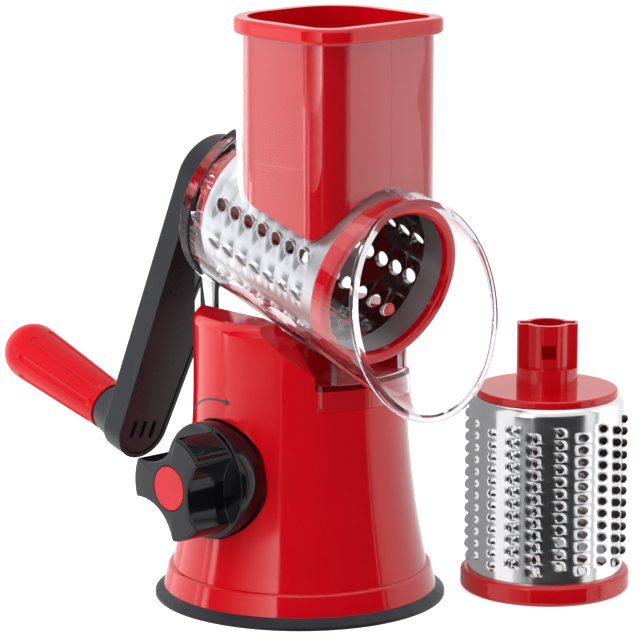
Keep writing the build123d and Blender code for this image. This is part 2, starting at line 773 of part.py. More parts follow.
def make_drum_shell(columns, in_sector, teeth, pitch, first, hole_radius, lip, lean):
    """A sheet drum standing on its mouth end, with a leaning raised lip round every hole.

    A sector holds in_sector columns, each set half a pitch on from the one before, and repeats.
    """
    sheet_end = ring_length - ring_groove_depth
    sheet_top = drum_length - drum_sheet
    step = 360 / columns
    angle = step * in_sector
    reach = 2 * drum_radius
    corner = (reach * cos(radians(angle)), reach * sin(radians(angle)))
    slice_face = make_face(Polyline((0, 0), (reach, 0), corner, close=True))
    wedge = Rot(0, 0, -step / 2) * extrude(slice_face, 2 * drum_length)
    outer = rounded_bar(drum_radius, sheet_end, drum_length, drum_shoulder)
    inner = rounded_bar(drum_radius - drum_sheet, sheet_end - 1, sheet_top, drum_shoulder - drum_sheet)
    inner += tube_z(drum_end_hole_radius, sheet_top - drum_sheet, drum_length + 1)
    depth = 2 * (hole_radius + lip)
    places = tooth_places(in_sector, step, teeth, pitch, first, lean)
    lips = [place * Cylinder(hole_radius + lip, depth, align=high) for place in places]
    holes = [place * Cylinder(hole_radius, 2 * depth) for place in places]
    sector = (outer & wedge) + lips - inner - holes
    copies = [Rot(0, 0, angle * number) * sector for number in range(1, columns // in_sector)]
    with SkipClean():
        return sector + copies


def make_drum_ring():
    """The plastic ring at the drum's mouth: a rounded lip in front of the sheet and a band round it."""
    ring = tube_z(ring_radius, 0, ring_length) - tube_z(ring_inner_radius, -1, ring_length + 1)
    ring -= tube_z(drum_radius + sheet_clearance, ring_length - ring_groove_depth, ring_length + 1)
    circles = ring.edges().filter_by(GeomType.CIRCLE)
    outside = circles.filter_by(lambda edge: edge.radius > drum_radius + 1)
    inside = circles.group_by(Axis.Z)[0].filter_by(lambda edge: edge.radius < drum_radius)
    return fillet(outside + inside, ring_edge_round)


def make_drum_hub():
    """The plastic end disc and its neck, with a keyed socket for the crank's spindle."""
    hub = tube_z(hub_disc_radius, drum_length, hub_top)
    hub = fillet(hub.edges().group_by(Axis.Z)[-1], hub_disc / 3)
    hub += tube_z(drum_end_hole_radius - hub_plug_clearance, drum_length - hub_plug_length, drum_length)
    hub += tube_z(neck_radius, hub_top, hub_top + neck_round_length)
    ears = Circle(neck_bulge_radius) + (Rectangle(2 * neck_radius, neck_ear_width) & Circle(neck_radius))
    hub += extrude(Plane.XY.offset(hub_top) * ears, neck_length)
    socket = Circle(socket_radius) + Rectangle(socket_slot_span, socket_slot_width)
    hub -= extrude(Plane.XY.offset(neck_end - socket_depth) * socket, socket_depth)
    window_height = neck_end - neck_window_drop
    window = Pos(0, -neck_bulge_radius, window_height) * Box(neck_window, neck_bulge_radius, neck_window)
    return hub - window


def coarse_shell():
    """The coarse drum's sheet."""
    return make_drum_shell(
        coarse_columns, 1, coarse_teeth, coarse_pitch, coarse_first, coarse_hole_radius, coarse_lip, coarse_lean
    )


def fine_shell():
    """The fine drum's sheet, with every other column of teeth set half a pitch along."""
    return make_drum_shell(fine_columns, 2, fine_teeth, fine_pitch, fine_first, fine_hole_radius, fine_lip, fine_lean)


def all_nodes():
    """Every sub-part by name, in its place."""
    ring = make_drum_ring()
    hub = make_drum_hub()
    return {
        "column": make_column(),
        "skirt": make_skirt(),
        "suction_pad": make_pad(),
        "bottom_plate": make_bottom_plate(),
        "bottom_plate_screws": make_bottom_plate_screws(),
        "near_bush": make_bush(pocket_floor - column_wall, column_wall, False),
        "far_bush": make_bush(-far_wall - far_wall_thickness, far_wall_thickness, True),
        "knob": make_knob(),
        "knob_cap": make_knob_cap(),
        "knob_screw": make_knob_screw(),
        "cam_shaft": make_cam_shaft(),
        "shaft_clip": make_shaft_clip(),
        "pull_rod": make_pull_rod(),
        "stem_pin": make_stem_pin(),
        "pad_stem": make_pad_stem(),
        "housing": make_housing(),
        "pusher": make_pusher(),
        "crank_arm": make_crank_arm(),
        "crank_arm_cover": make_crank_arm_cover(),
        "crank_spindle": make_crank_spindle(),
        "spindle_screw": make_spindle_screw(),
        "grip_axle": make_grip_axle(),
        "axle_washer": make_axle_washer(),
        "axle_nut": make_axle_nut(),
        "grip": make_grip(),
        "grip_cap": make_grip_cap(),
        "drum_shell": drum_frame * Rot(0, 0, coarse_turn) * coarse_shell(),
        "drum_ring": drum_frame * ring,
        "drum_hub": drum_frame * hub,
        "spare_drum_shell": spare_frame * Rot(0, 0, fine_turn) * fine_shell(),
        "spare_drum_ring": spare_frame * ring,
        "spare_drum_hub": spare_frame * hub,
    }


os.makedirs("parts", exist_ok=True)
for name, shape in all_nodes().items():
    export_step(shape, f"parts/{name}.step")
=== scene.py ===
import math

import bmesh
import bpy
from mathutils import Matrix, Vector


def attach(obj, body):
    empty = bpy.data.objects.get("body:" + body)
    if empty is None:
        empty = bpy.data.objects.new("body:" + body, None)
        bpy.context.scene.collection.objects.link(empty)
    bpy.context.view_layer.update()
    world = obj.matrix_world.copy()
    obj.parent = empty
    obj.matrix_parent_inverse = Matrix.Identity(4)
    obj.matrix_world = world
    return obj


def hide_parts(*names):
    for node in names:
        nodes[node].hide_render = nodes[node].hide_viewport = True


# Looks of a rotary drum grater on a suction foot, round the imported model. Lengths are metres,
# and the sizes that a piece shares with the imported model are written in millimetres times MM.

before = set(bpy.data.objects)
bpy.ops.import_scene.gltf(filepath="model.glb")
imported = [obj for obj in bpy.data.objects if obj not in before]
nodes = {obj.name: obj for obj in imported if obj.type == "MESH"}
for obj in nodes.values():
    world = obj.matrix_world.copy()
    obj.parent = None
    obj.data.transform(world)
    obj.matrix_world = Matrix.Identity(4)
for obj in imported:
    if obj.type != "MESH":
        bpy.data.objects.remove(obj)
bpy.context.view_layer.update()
scene = bpy.context.scene
MM = 0.001

# Drum axis and drums
AXIS_TILT = math.radians(16.0)
AXIS_HEIGHT = 168.2 * MM
DRUM_REACH = 62.6 * MM
DRUM_RADIUS = 35.4
DRUM_SHEET = 0.7
DRUM_LENGTH = 90.5
DRUM_SHOULDER = 4.0
DRUM_END_HOLE = 28.0
SHEET_END = 4.4
SPARE_PLACE = Vector((90.3, -67.9, 0.0)) * MM
SPARE_TURN = math.radians(-42.0)
COARSE_SHEET_TURN = math.radians(15.0)
FINE_SHEET_TURN = math.radians(-11.6)

# How a tooth's cell is divided, and the last row of a tooth that faces outwards; the rows after it take the
# darker inside steel, which is painted shade
CELL_ROUND = 6
CELL_ALONG = 4
INNER_ROW = 6

# Housing: where its rear wall, legs and mouth rim begin and end, and the mould line up its chute
REAR_START = 89.0
REAR_MIDDLE = 20.0
LEG_TOP = 131.0
LEG_START = 14.0
RIM_TOP = Vector((0.0, 39.9, -3.7))
RIM_TILT = math.radians(9.7)
RIM_DEPTH = 2.9
CHUTE_FRONT = -59.2
LINE_LOW = 195.0
LINE_HIGH = 259.0
LINE_HALF = 0.22
LINE_LIFT = 0.14
LINE_SINK = 0.03
LINE_STEPS = 36
LINE_ROUND = 6

# Column and knob
COLUMN_RADIUS = 48.2
COLUMN_FOOT_RADIUS = 58.0
COLUMN_FLARE_START = 105.0
COLUMN_FOOT = 14.7
KNOB_AXIS_HEIGHT = 61.4
KNOB_START = 43.6
KNOB_LENGTH = 34.3
KNOB_SKIRT_LENGTH = 14.0
KNOB_SKIRT_RADIUS = 26.3
KNOB_LOBE_RADIUS = 24.0
KNOB_LOBES = 3
KNOB_LOBE_ANGLE = 33.0
KNOB_SCOOP_RADIUS = 23.0
KNOB_SCOOP_REACH = 13.4
KNOB_CAP_RADIUS = 9.8
KNOB_CAP_DEPTH = 2.2
KNOB_CAP_GAP = 0.3
KNOB_BORE = 6.0
KNOB_SCREW_HOLE = 3.0
KNOB_BACK_ROUND = 0.4
KNOB_LEDGE_ROUND = 0.7
KNOB_FILLET = 0.5
KNOB_EDGE_ROUND = 1.1
KNOB_STEPS = 288

# Printed arc over the knob: its radius, line, height above the column and arrow heads
ARC_RADIUS = 35.4
ARC_HALF_LINE = 0.55
ARC_LIFT = 0.06
ARC_ENDS = (84.0, 136.0)
ARC_TIPS = (78.5, 141.5)
ARC_STEPS = 28
HEAD_HALF = 1.9
HEAD_POINT = 0.05
HEAD_STEPS = 6
STRIP_STEPS = 4

# View
VIEW_TURN = math.radians(-42.0)
VIEW_PITCH = math.radians(11.24)
VIEW_DISTANCE = 1.699
VIEW_TARGET = Vector((0.0, 0.0, 0.140))
VIEW_LENS = 212.0
VIEW_SHIFT = (0.0314, -0.0456)

# Stage: levels of light, and the heights between which the lamps and cards stand, in metres
WORLD_FILL = 0.45
FLOOR_GLOW = 0.68
FLOOR_HALF = 3.0
LAMP_FOOT = -0.5
LAMP_TOP = 0.95
CHUTE_FOOT = -0.08
CHUTE_TOP = 0.085
STRIP_TOP = 0.40
CARD_FOOT = -0.1
CARD_TOP = 0.130


def axis_matrix():
    """The drum's own frame: its mouth at the origin and its axis along Z."""
    along = Vector((0.0, math.cos(AXIS_TILT), math.sin(AXIS_TILT)))
    across = Vector((-1.0, 0.0, 0.0))
    up = along.cross(across)
    front = Vector((0.0, 0.0, AXIS_HEIGHT)) - along * DRUM_REACH
    turn = Matrix((across, up, along)).transposed().to_4x4()
    return Matrix.Translation(front) @ turn


def spare_matrix():
    """The spare drum's sheet: standing on its mouth, turned as it stands on the table."""
    return Matrix.Translation(SPARE_PLACE) @ Matrix.Rotation(SPARE_TURN + FINE_SHEET_TURN, 4, "Z")


def knob_matrix():
    """The knob's own frame: the column's centre at the origin and the knob's axis along Z."""
    turn = Matrix(((0, -1, 0), (0, 0, 1), (-1, 0, 0))).transposed().to_4x4()
    return Matrix.Translation((0.0, 0.0, KNOB_AXIS_HEIGHT * MM)) @ turn


# ---------------------------------------------------------------- mesh helpers


class Sheet:
    """Collects points and faces in millimetres and joins points that meet."""

    def __init__(self):
        self.points = []
        self.faces = []
        self.marks = []
        self.index = {}

    def point(self, x, y, z):
        """The number of the point at this place, new or already there."""
        key = (round(x, 4), round(y, 4), round(z, 4))
        if key not in self.index:
            self.index[key] = len(self.points)
            self.points.append((x, y, z))
        return self.index[key]

    def face(self, corners, mark=0):
        """A face through these points, without repeated corners."""
        ring = [c for n, c in enumerate(corners) if c != corners[n - 1]]
        if len(set(ring)) == len(ring) and len(ring) > 2:
            self.faces.append(ring)
            self.marks.append(mark)

    def band(self, first, second, closed=True, mark=0):
        """Quads between two rows of as many points."""
        count = len(first)
        for n in range(count if closed else count - 1):
            after = (n + 1) % count
            self.face([first[n], first[after], second[after], second[n]], mark)

    def piece(self, name, place, materials, body, slot, sharp=40.0):
        """The collected faces as a smooth-shaded piece that rides on a body."""
        mesh = bpy.data.meshes.new(name)
        mesh.from_pydata([place @ (Vector(p) * MM) for p in self.points], [], self.faces)
        for finish in materials:
            mesh.materials.append(finish)
        mesh.polygons.foreach_set("material_index", self.marks)
        tidy = bmesh.new()
        tidy.from_mesh(mesh)
        bmesh.ops.recalc_face_normals(tidy, faces=tidy.faces)
        tidy.to_mesh(mesh)
        tidy.free()
        mesh.polygons.foreach_set("use_smooth", [True] * len(mesh.polygons))
        mesh.set_sharp_from_angle(angle=math.radians(sharp))
        piece = bpy.data.objects.new(name, mesh)
        scene.collection.objects.link(piece)
        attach(piece, body)
        return piece


# ---------------------------------------------------------------- shader parts


def add(tree, kind, **settings):
    """A new node with its properties set."""
    node = tree.nodes.new(kind)
    for name, value in settings.items():
        setattr(node, name, value)
    return node


def link(tree, source, target):
    """Joins an output to an input."""
    tree.links.new(source, target)


def noise(tree, coordinates, scale, detail=2.0, stretch=None):
    """A noise texture on these coordinates, drawn out by stretch where given."""
    if stretch:
        mapping = add(tree, "ShaderNodeMapping")
        mapping.inputs["Scale"].default_value = stretch
        link(tree, coordinates, mapping.inputs["Vector"])
        coordinates = mapping.outputs["Vector"]
    texture = add(tree, "ShaderNodeTexNoise")
    texture.inputs["Scale"].default_value = scale
    texture.inputs["Detail"].default_value = detail
    link(tree, coordinates, texture.inputs["Vector"])
    return texture


def spread(tree, source, low, high, start=0.3, end=0.7):
    """Maps a texture's middle range to low .. high; the ends may be values or outputs."""
    node = add(tree, "ShaderNodeMapRange")
    node.inputs["From Min"].default_value = start
    node.inputs["From Max"].default_value = end
    for name, value in (("To Min", low), ("To Max", high)):
        if isinstance(value, (int, float)):
            node.inputs[name].default_value = value
        else:
            link(tree, value, node.inputs[name])
    link(tree, source, node.inputs["Value"])
    return node.outputs["Result"]


def two_tone(tree, factor, first, second):
    """A colour between two others; they may be colours or outputs."""
    node = add(tree, "ShaderNodeMix", data_type="RGBA")
    link(tree, factor, node.inputs["Factor"])
    for name, value in (("A", first), ("B", second)):
        socket = next(s for s in node.inputs if s.name == name and s.type == "RGBA")
        if isinstance(value, tuple):
            socket.default_value = (*value, 1.0)
        else:
            link(tree, value, socket)
    return next(s for s in node.outputs if s.type == "RGBA")


def group_tree(name, inputs, outputs):
    """An empty shader group with these named sockets, and its two end nodes."""
    tree = bpy.data.node_groups.new(name, "ShaderNodeTree")
    for socket, kind in inputs:
        tree.interface.new_socket(socket, in_out="INPUT", socket_type=kind)
    for socket, kind in outputs:
        tree.interface.new_socket(socket, in_out="OUTPUT", socket_type=kind)
    return tree, add(tree, "NodeGroupInput"), add(tree, "NodeGroupOutput")


def skin_tree(name, light, deep):
    """A skin's empty group: two tones and two ends of gloss in; colour, roughness and height out."""
    inputs = [
        (light, "NodeSocketColor"),
        (deep, "NodeSocketColor"),
        ("Smoothest", "NodeSocketFloat"),
        ("Roughest", "NodeSocketFloat"),
    ]
    outputs = [("Colour", "NodeSocketColor"), ("Roughness", "NodeSocketFloat"), ("Height", "NodeSocketFloat")]
    return group_tree(name, inputs, outputs)


def join_skin(tree, start, end, drift, marks, relief):
    """Joins a skin's textures to its outputs; relief is a broad texture, its weight and a fine one."""
    light, deep, smoothest, roughest = list(start.outputs)[:4]
    tone = spread(tree, drift.outputs["Fac"], 0.0, 1.0)
    link(tree, two_tone(tree, tone, light, deep), end.inputs["Colour"])
    gloss = spread(tree, marks.outputs["Fac"], smoothest, roughest, 0.35, 0.75)
    link(tree, gloss, end.inputs["Roughness"])
    broad, weight, fine_grain = relief
    mixed = add(tree, "ShaderNodeMath", operation="MULTIPLY_ADD")
    link(tree, broad.outputs["Fac"], mixed.inputs[0])
    mixed.inputs[1].default_value = weight
    link(tree, fine_grain.outputs["Fac"], mixed.inputs[2])
    link(tree, mixed.outputs["Value"], end.inputs["Height"])


def moulded_skin():
    """Shared skin of moulded plastic: slow colour drift, handling marks in the gloss, fine grain."""
    tree, start, end = skin_tree("moulded_skin", "Light Tone", "Deep Tone")
    place = add(tree, "ShaderNodeTexCoord").outputs["Object"]
    drift = noise(tree, place, 28.0, 3.0)
    handling = noise(tree, place, 95.0, 4.0, stretch=(1.0, 1.0, 0.6))
    grain = noise(tree, place, 2600.0, 1.0)
    ripple = noise(tree, place, 160.0, 1.0)
    join_skin(tree, start, end, drift, handling, (ripple, 2.5, grain))
    return tree


def rolled_sheet():
    """Shared skin of bright rolled steel: fine draw lines, dull smears and pressed unevenness."""
    tree, start, end = skin_tree("rolled_sheet", "Bright", "Dull")
    place = add(tree, "ShaderNodeTexCoord").outputs["Object"]
    lines = noise(tree, place, 900.0, 2.0, stretch=(1.0, 1.0, 0.03))
    smears = noise(tree, place, 70.0, 3.0)
    pressed = noise(tree, place, 120.0, 2.0)
    join_skin(tree, start, end, smears, smears, (pressed, 3.0, lines))
    return tree


PLASTIC_SKIN = moulded_skin()
STEEL_SKIN = rolled_sheet()


def material(name):
    """A new material with an empty tree: its tree, shader and output."""
    made = bpy.data.materials.new(name)
    made.use_nodes = True
    tree = made.node_tree
    tree.nodes.clear()
    shader = add(tree, "ShaderNodeBsdfPrincipled")
    output = add(tree, "ShaderNodeOutputMaterial")
    link(tree, shader.outputs["BSDF"], output.inputs["Surface"])
    return made, tree, shader, output


def skinned(name, skin, tones, gloss, relief, metal=0.0, shine=0.5):
    """A material whose colour, gloss and fine relief come from a shared skin."""
    made, tree, shader, _ = material(name)
    group = add(tree, "ShaderNodeGroup", node_tree=skin)
    for socket, value in zip(list(group.inputs)[:2], tones):
        socket.default_value = (*value, 1.0)
    group.inputs["Smoothest"].default_value = gloss[0]
    group.inputs["Roughest"].default_value = gloss[1]
    link(tree, group.outputs["Colour"], shader.inputs["Base Color"])
    link(tree, group.outputs["Roughness"], shader.inputs["Roughness"])
    bump = add(tree, "ShaderNodeBump")
    bump.inputs["Strength"].default_value = relief
    bump.inputs["Distance"].default_value = 0.00004
    link(tree, group.outputs["Height"], bump.inputs["Height"])
    link(tree, bump.outputs["Normal"], shader.inputs["Normal"])
    shader.inputs["Metallic"].default_value = metal
    shader.inputs["Specular IOR Level"].default_value = shine
    return made


def clear_moulding(name, tint, bend):
    """Clear plastic: faint flow ripples and wiping marks; light from the lamps passes through."""
    made, tree, shader, output = material(name)
    place = add(tree, "ShaderNodeTexCoord").outputs["Object"]
    flow = noise(tree, place, 40.0, 2.0, stretch=(1.0, 1.0, 0.35))
    wiping = noise(tree, place, 240.0, 3.0)
    shader.inputs["Base Color"].default_value = (*tint, 1.0)
    shader.inputs["Transmission Weight"].default_value = 1.0
    shader.inputs["IOR"].default_value = bend
    link(tree, spread(tree, wiping.outputs["Fac"], 0.0, 0.035, 0.45, 0.8), shader.inputs["Roughness"])
    bump = add(tree, "ShaderNodeBump")
    bump.inputs["Strength"].default_value = 0.12
    bump.inputs["Distance"].default_value = 0.0004
    link(tree, flow.outputs["Fac"], bump.inputs["Height"])
    link(tree, bump.outputs["Normal"], shader.inputs["Normal"])
    lamps = add(tree, "ShaderNodeBsdfTransparent")
    lamps.inputs["Color"].default_value = (0.93, 0.94, 0.95, 1.0)
    path = add(tree, "ShaderNodeLightPath")
    mirrored = add(tree, "ShaderNodeMath", operation="SUBTRACT", use_clamp=True)
    link(tree, path.outputs["Is Glossy Ray"], mirrored.inputs[0])
    link(tree, path.outputs["Is Transmission Ray"], mirrored.inputs[1])
    straight = mirrored.outputs["Value"]
    for kind in ("Is Shadow Ray", "Is Diffuse Ray"):
        either = add(tree, "ShaderNodeMath", operation="MAXIMUM")
        link(tree, straight, either.inputs[0])
        link(tree, path.outputs[kind], either.inputs[1])
        straight = either.outputs["Value"]
    mix = add(tree, "ShaderNodeMixShader")
    link(tree, straight, mix.inputs[0])
    link(tree, shader.outputs["BSDF"], mix.inputs[1])
    link(tree, lamps.outputs["BSDF"], mix.inputs[2])
    link(tree, mix.outputs["Shader"], output.inputs["Surface"])
    return made


RED_GLOSS = skinned(
    "red_gloss", PLASTIC_SKIN, ((0.71, 0.001, 0.010), (0.66, 0.001, 0.008)), (0.07, 0.13), 0.10
)
RED_SATIN = skinned(
    "red_satin", PLASTIC_SKIN, ((0.72, 0.001, 0.012), (0.66, 0.001, 0.009)), (0.08, 0.13), 0.12, shine=0.15
)
RED_CAP = skinned(
    "red_cap", PLASTIC_SKIN, ((0.72, 0.008, 0.022), (0.66, 0.006, 0.018)), (0.25, 0.35), 0.2
)
CRANK_BLACK = skinned(
    "crank_black", PLASTIC_SKIN, ((0.015, 0.017, 0.024), (0.011, 0.013, 0.018)), (0.26, 0.36), 0.3, shine=0.35
)
KNOB_BLACK = skinned(
    "knob_black", PLASTIC_SKIN, ((0.006, 0.006, 0.008), (0.004, 0.004, 0.006)), (0.07, 0.14), 0.12, shine=0.4
)
KNOB_FACE_BLACK = skinned(
    "knob_face", PLASTIC_SKIN, ((0.010, 0.010, 0.013), (0.007, 0.007, 0.010)), (0.28, 0.4), 0.3
)
RUBBER = skinned(
    "pad_rubber", PLASTIC_SKIN, ((0.020, 0.020, 0.026), (0.015, 0.015, 0.020)), (0.45, 0.6), 0.4, shine=0.3
)
WHITE_PLASTIC = skinned(
    "white_plastic", PLASTIC_SKIN, ((0.78, 0.78, 0.76), (0.72, 0.72, 0.70)), (0.3, 0.42), 0.25
)
MARK_INK = skinned(
    "mark_ink", PLASTIC_SKIN, ((0.030, 0.022, 0.026), (0.022, 0.016, 0.020)), (0.3, 0.42), 0.2
)
# The drum's inside is the same steel painted darker and browner: painted shade inside the drum
INSIDE_STEEL_PAINTED_SHADE = skinned(
    "inside_steel_painted_shade", STEEL_SKIN, ((0.34, 0.31, 0.30), (0.26, 0.24, 0.23)), (0.12, 0.22), 0.12, 1.0
)
SHEET_STEEL = skinned(
    "sheet_steel", STEEL_SKIN, ((0.80, 0.80, 0.82), (0.74, 0.74, 0.76)), (0.16, 0.26), 0.12, 1.0
)
SATIN_STEEL = skinned(
    "satin_steel", STEEL_SKIN, ((0.88, 0.88, 0.90), (0.82, 0.82, 0.84)), (0.36, 0.46), 0.12, 1.0
)
TURNED_STEEL = skinned(
    "turned_steel", STEEL_SKIN, ((0.62, 0.62, 0.63), (0.54, 0.54, 0.55)), (0.22, 0.36), 0.25, 1.0
)
CLEAR = clear_moulding("clear_moulding", (0.985, 0.978, 0.990), 1.49)
# The mouth rim's lilac-grey tint is painted shade: it stands in for the dark edges that refraction shows in
# clear plastic
CLEAR_EDGE_PAINTED_SHADE = clear_moulding("clear_edge_painted_shade", (0.76, 0.71, 0.78), 1.45)
CLEAR_REAR = clear_moulding("clear_rear", (0.95, 0.94, 0.96), 1.10)

NODE_MATERIALS = {
    RED_GLOSS: "column skirt pusher drum_ring drum_hub spare_drum_ring spare_drum_hub",
    RED_SATIN: "grip grip_cap",
    RED_CAP: "knob_cap",
    CRANK_BLACK: "crank_arm crank_arm_cover",
    KNOB_BLACK: "knob",
    RUBBER: "suction_pad bottom_plate",
    WHITE_PLASTIC: "near_bush far_bush pull_rod pad_stem crank_spindle",
    TURNED_STEEL: (
        "bottom_plate_screws knob_screw cam_shaft shaft_clip stem_pin "
        "spindle_screw grip_axle axle_washer axle_nut"
    ),
    SATIN_STEEL: "drum_shell",
    SHEET_STEEL: "spare_drum_shell",
    CLEAR: "housing",
}


def dress_nodes():
    """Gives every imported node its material."""
    for finish, names in NODE_MATERIALS.items():
        for name in names.split():
            slots = nodes[name].data.materials
            slots.clear()
            slots.append(finish)
    dress_housing()


def dress_housing():
    """Gives the housing's rear wall and legs a clear plastic that bends light less, and tints its rim darker
    with painted shade.
    """
    housing = nodes["housing"]
    housing.data.materials.append(CLEAR_REAR)
    housing.data.materials.append(CLEAR_EDGE_PAINTED_SHADE)
    to_drum = axis_matrix().inverted() @ housing.matrix_world
    rim_top = axis_matrix() @ (RIM_TOP * MM)
    rim_normal = Vector((0.0, math.cos(RIM_TILT), -math.sin(RIM_TILT)))
    for face in housing.data.polygons:
        middle = housing.matrix_world @ face.center
        spot = to_drum @ face.center / MM
        behind = spot.z > REAR_START and math.hypot(spot.x, spot.y) > REAR_MIDDLE
        if behind or (spot.z > LEG_START and middle.z < LEG_TOP * MM):
            face.material_index = 1
        # The mouth rim's faces take the lilac-grey tinted clear plastic: painted shade along the rim
        elif abs((middle - rim_top).dot(rim_normal)) < RIM_DEPTH * MM:
            face.material_index = 2


# ---------------------------------------------------------------- drums


class ToothForm:
    """One formed tooth: a tilted hole whose lip rises on one side and dips on the other."""

    # Shares of the ramp beside and before the hole, of the way from foot to edge, and of the lip
    SIDE_RAMP = 0.55
    FRONT_RAMP = 0.25
    WAIST = (0.45, 0.30)
    NECK = (0.80, 0.72)
    CROWN = 0.45
    UNDER = 0.35
    # Heights of the lip's crown and cutting edge over the hole's plane
    CROWN_LIFT = 0.16
    CUT_LIFT = 0.05
    BORE_WIDENING = 0.02
    BORE_DEPTH = 0.6 * DRUM_SHEET

    def __init__(self, hole, lip, lean, rise, ramp, room):
        self.hole = hole
        self.room = room
        self.lip = lip
        self.lean = math.radians(lean)
        self.rise = rise
        self.ramp = ramp

    def rim(self, angle, grow, lift):
        """A point of the tilted rim: round the drum, along it, and above the sheet."""
        radius = self.hole + grow
        reach = radius * math.cos(angle)
        around = reach * math.cos(self.lean) - lift * math.sin(self.lean)
        height = self.rise + reach * math.sin(self.lean) + lift * math.cos(self.lean)
        return around, radius * math.sin(angle), height

    def foot(self, angle):
        """A point of the line where the tooth leaves the sheet, longer behind the raised side."""
        side = min(self.hole + self.lip + self.SIDE_RAMP * self.ramp, self.room)
        reach = self.hole + self.lip + (self.ramp if math.cos(angle) > 0 else self.FRONT_RAMP * self.ramp)
        return reach * math.cos(angle), side * math.sin(angle), 0.0

    def rows(self, angles):
        """The tooth's rows of points from the sheet's outside over the lip to its inside."""
        foot = [self.foot(a) for a in angles]
        edge = [self.rim(a, self.lip, 0.0) for a in angles]
        waist = [blend(f, e, *self.WAIST) for f, e in zip(foot, edge)]
        neck = [blend(f, e, *self.NECK) for f, e in zip(foot, edge)]
        crown = [self.rim(a, self.CROWN * self.lip, self.CROWN_LIFT) for a in angles]
        cut = [self.rim(a, 0.0, self.CUT_LIFT) for a in angles]
        bore = [self.rim(a, self.BORE_WIDENING, -self.BORE_DEPTH) for a in angles]
        under = [self.rim(a, self.UNDER * self.lip, -DRUM_SHEET) for a in angles]
        inside = [(s, v, h - DRUM_SHEET) for s, v, h in foot]
        return [foot, waist, neck, edge, crown, cut, bore, under, inside]


def blend(first, second, along, up):
    """Between two points: along of the way across, and up of the way in height."""
    across = [a + (b - a) * along for a, b in zip(first[:2], second[:2])]
    return across[0], across[1], first[2] + (second[2] - first[2]) * up


def on_drum(sheet, angle, around, along, height):
    """A point given round the drum, along it and above its outside."""
    turn = angle + around / DRUM_RADIUS
    radius = DRUM_RADIUS + height
    return sheet.point(radius * math.cos(turn), radius * math.sin(turn), along)


def cell_edge(width, pitch):
    """The points round one tooth's cell, and the angle of each as seen from its middle."""
    corners = []
    for n in range(CELL_ROUND):
        corners.append((-0.5 + n / CELL_ROUND, -0.5))
    for n in range(CELL_ALONG):
        corners.append((0.5, -0.5 + n / CELL_ALONG))
    for n in range(CELL_ROUND):
        corners.append((0.5 - n / CELL_ROUND, 0.5))
    for n in range(CELL_ALONG):
        corners.append((-0.5, 0.5 - n / CELL_ALONG))
    return [((x * width, y * pitch), math.atan2(y, x)) for x, y in corners]


def drum_shell(name, place, body, steel, columns, stagger, teeth, pitch, first, form):
    """A sheet drum with formed teeth, a rounded shoulder and a rolled end."""
    sheet = Sheet()
    step = 2 * math.pi / columns
    width = step * DRUM_RADIUS
    edge = cell_edge(width, pitch)
    angles = [a for _, a in edge]
    rows = form.rows(angles)
    top = DRUM_LENGTH - first
    level = pitch / CELL_ALONG
    shoulder = DRUM_LENGTH - DRUM_SHOULDER
    highest = top + pitch / 2
    lowest = top - pitch * (teeth - 0.5) - (pitch / 2 if stagger else 0.0)
    for column in range(columns):
        angle = step * column
        start = top - (pitch / 2 if stagger and column % 2 else 0.0)
        for tooth in range(teeth):
            middle = start - pitch * tooth
            line = [on_drum(sheet, angle, s, middle + v, 0.0) for (s, v), _ in edge]
            for number, row in enumerate(rows):
                after = [on_drum(sheet, angle, s, middle + v, h) for s, v, h in row]
                # Rows past INNER_ROW, under the lip and through the sheet, get mark 1: the darker inside
                # steel, painted shade
                sheet.band(line, after, mark=1 if number > INNER_ROW else 0)
                line = after
            inside = [on_drum(sheet, angle, s, middle + v, -DRUM_SHEET) for (s, v), _ in edge]
            sheet.band(line, inside, mark=1)
        # Plain sheet between the teeth; its inside faces get mark 1, the darker inside steel, painted shade
        plain = [(start + pitch / 2, highest), (lowest, start - pitch * (teeth - 0.5))]
        for low, high in plain:
            for n in range(round((high - low) / level)):
                for height in (0.0, -DRUM_SHEET):
                    cell = [low + level * n, low + level * (n + 1)]
                    side = [[on_drum(sheet, angle, s, v, height) for s in cell_steps(width)] for v in cell]
                    sheet.band(side[0], side[1], closed=False, mark=0 if height == 0.0 else 1)
    shell_ends(sheet, columns, step, width, shoulder, highest, lowest)
    # Faces with mark 1 take the darker inside steel: painted shade inside the drum
    return sheet.piece(name, place, [steel, INSIDE_STEEL_PAINTED_SHADE], body, "steel_sheet", 50.0)


def cell_steps(width):
    """Where a cell's edge is divided round the drum."""
    return [width * (n / CELL_ROUND - 0.5) for n in range(CELL_ROUND + 1)]


def shell_ends(sheet, columns, step, width, shoulder, highest, lowest):
    """The plain sheet above and below the teeth, outside and inside, and the rounded shoulder."""
    inner = DRUM_SHOULDER - DRUM_SHEET
    profile = [(0.0, lowest), (0.0, SHEET_END), (-DRUM_SHEET, SHEET_END), (-DRUM_SHEET, lowest)]
    crown = [(0.0, highest), (0.0, shoulder)]
    arc = [math.radians(15 * n) for n in range(1, 7)]
    crown += [(DRUM_SHOULDER * (math.cos(a) - 1), shoulder + DRUM_SHOULDER * math.sin(a)) for a in arc]
    end_edge = DRUM_END_HOLE - DRUM_RADIUS
    crown += [(end_edge, DRUM_LENGTH), (end_edge, DRUM_LENGTH - DRUM_SHEET)]
    back = [(-DRUM_SHEET + inner * (math.cos(a) - 1), shoulder + inner * math.sin(a)) for a in reversed(arc)]
    crown += back + [(-DRUM_SHEET, shoulder), (-DRUM_SHEET, highest)]
    for outline in (profile, crown):
        for column in range(columns):
            lines = [[on_drum(sheet, step * column, s, v, h) for s in cell_steps(width)] for h, v in outline]
            for number, (first, second) in enumerate(zip(lines, lines[1:])):
                # The inner half of each outline gets mark 1, the darker inside steel: painted shade
                sheet.band(first, second, closed=False, mark=1 if number > len(outline) // 2 else 0)


# ---------------------------------------------------------------- knob


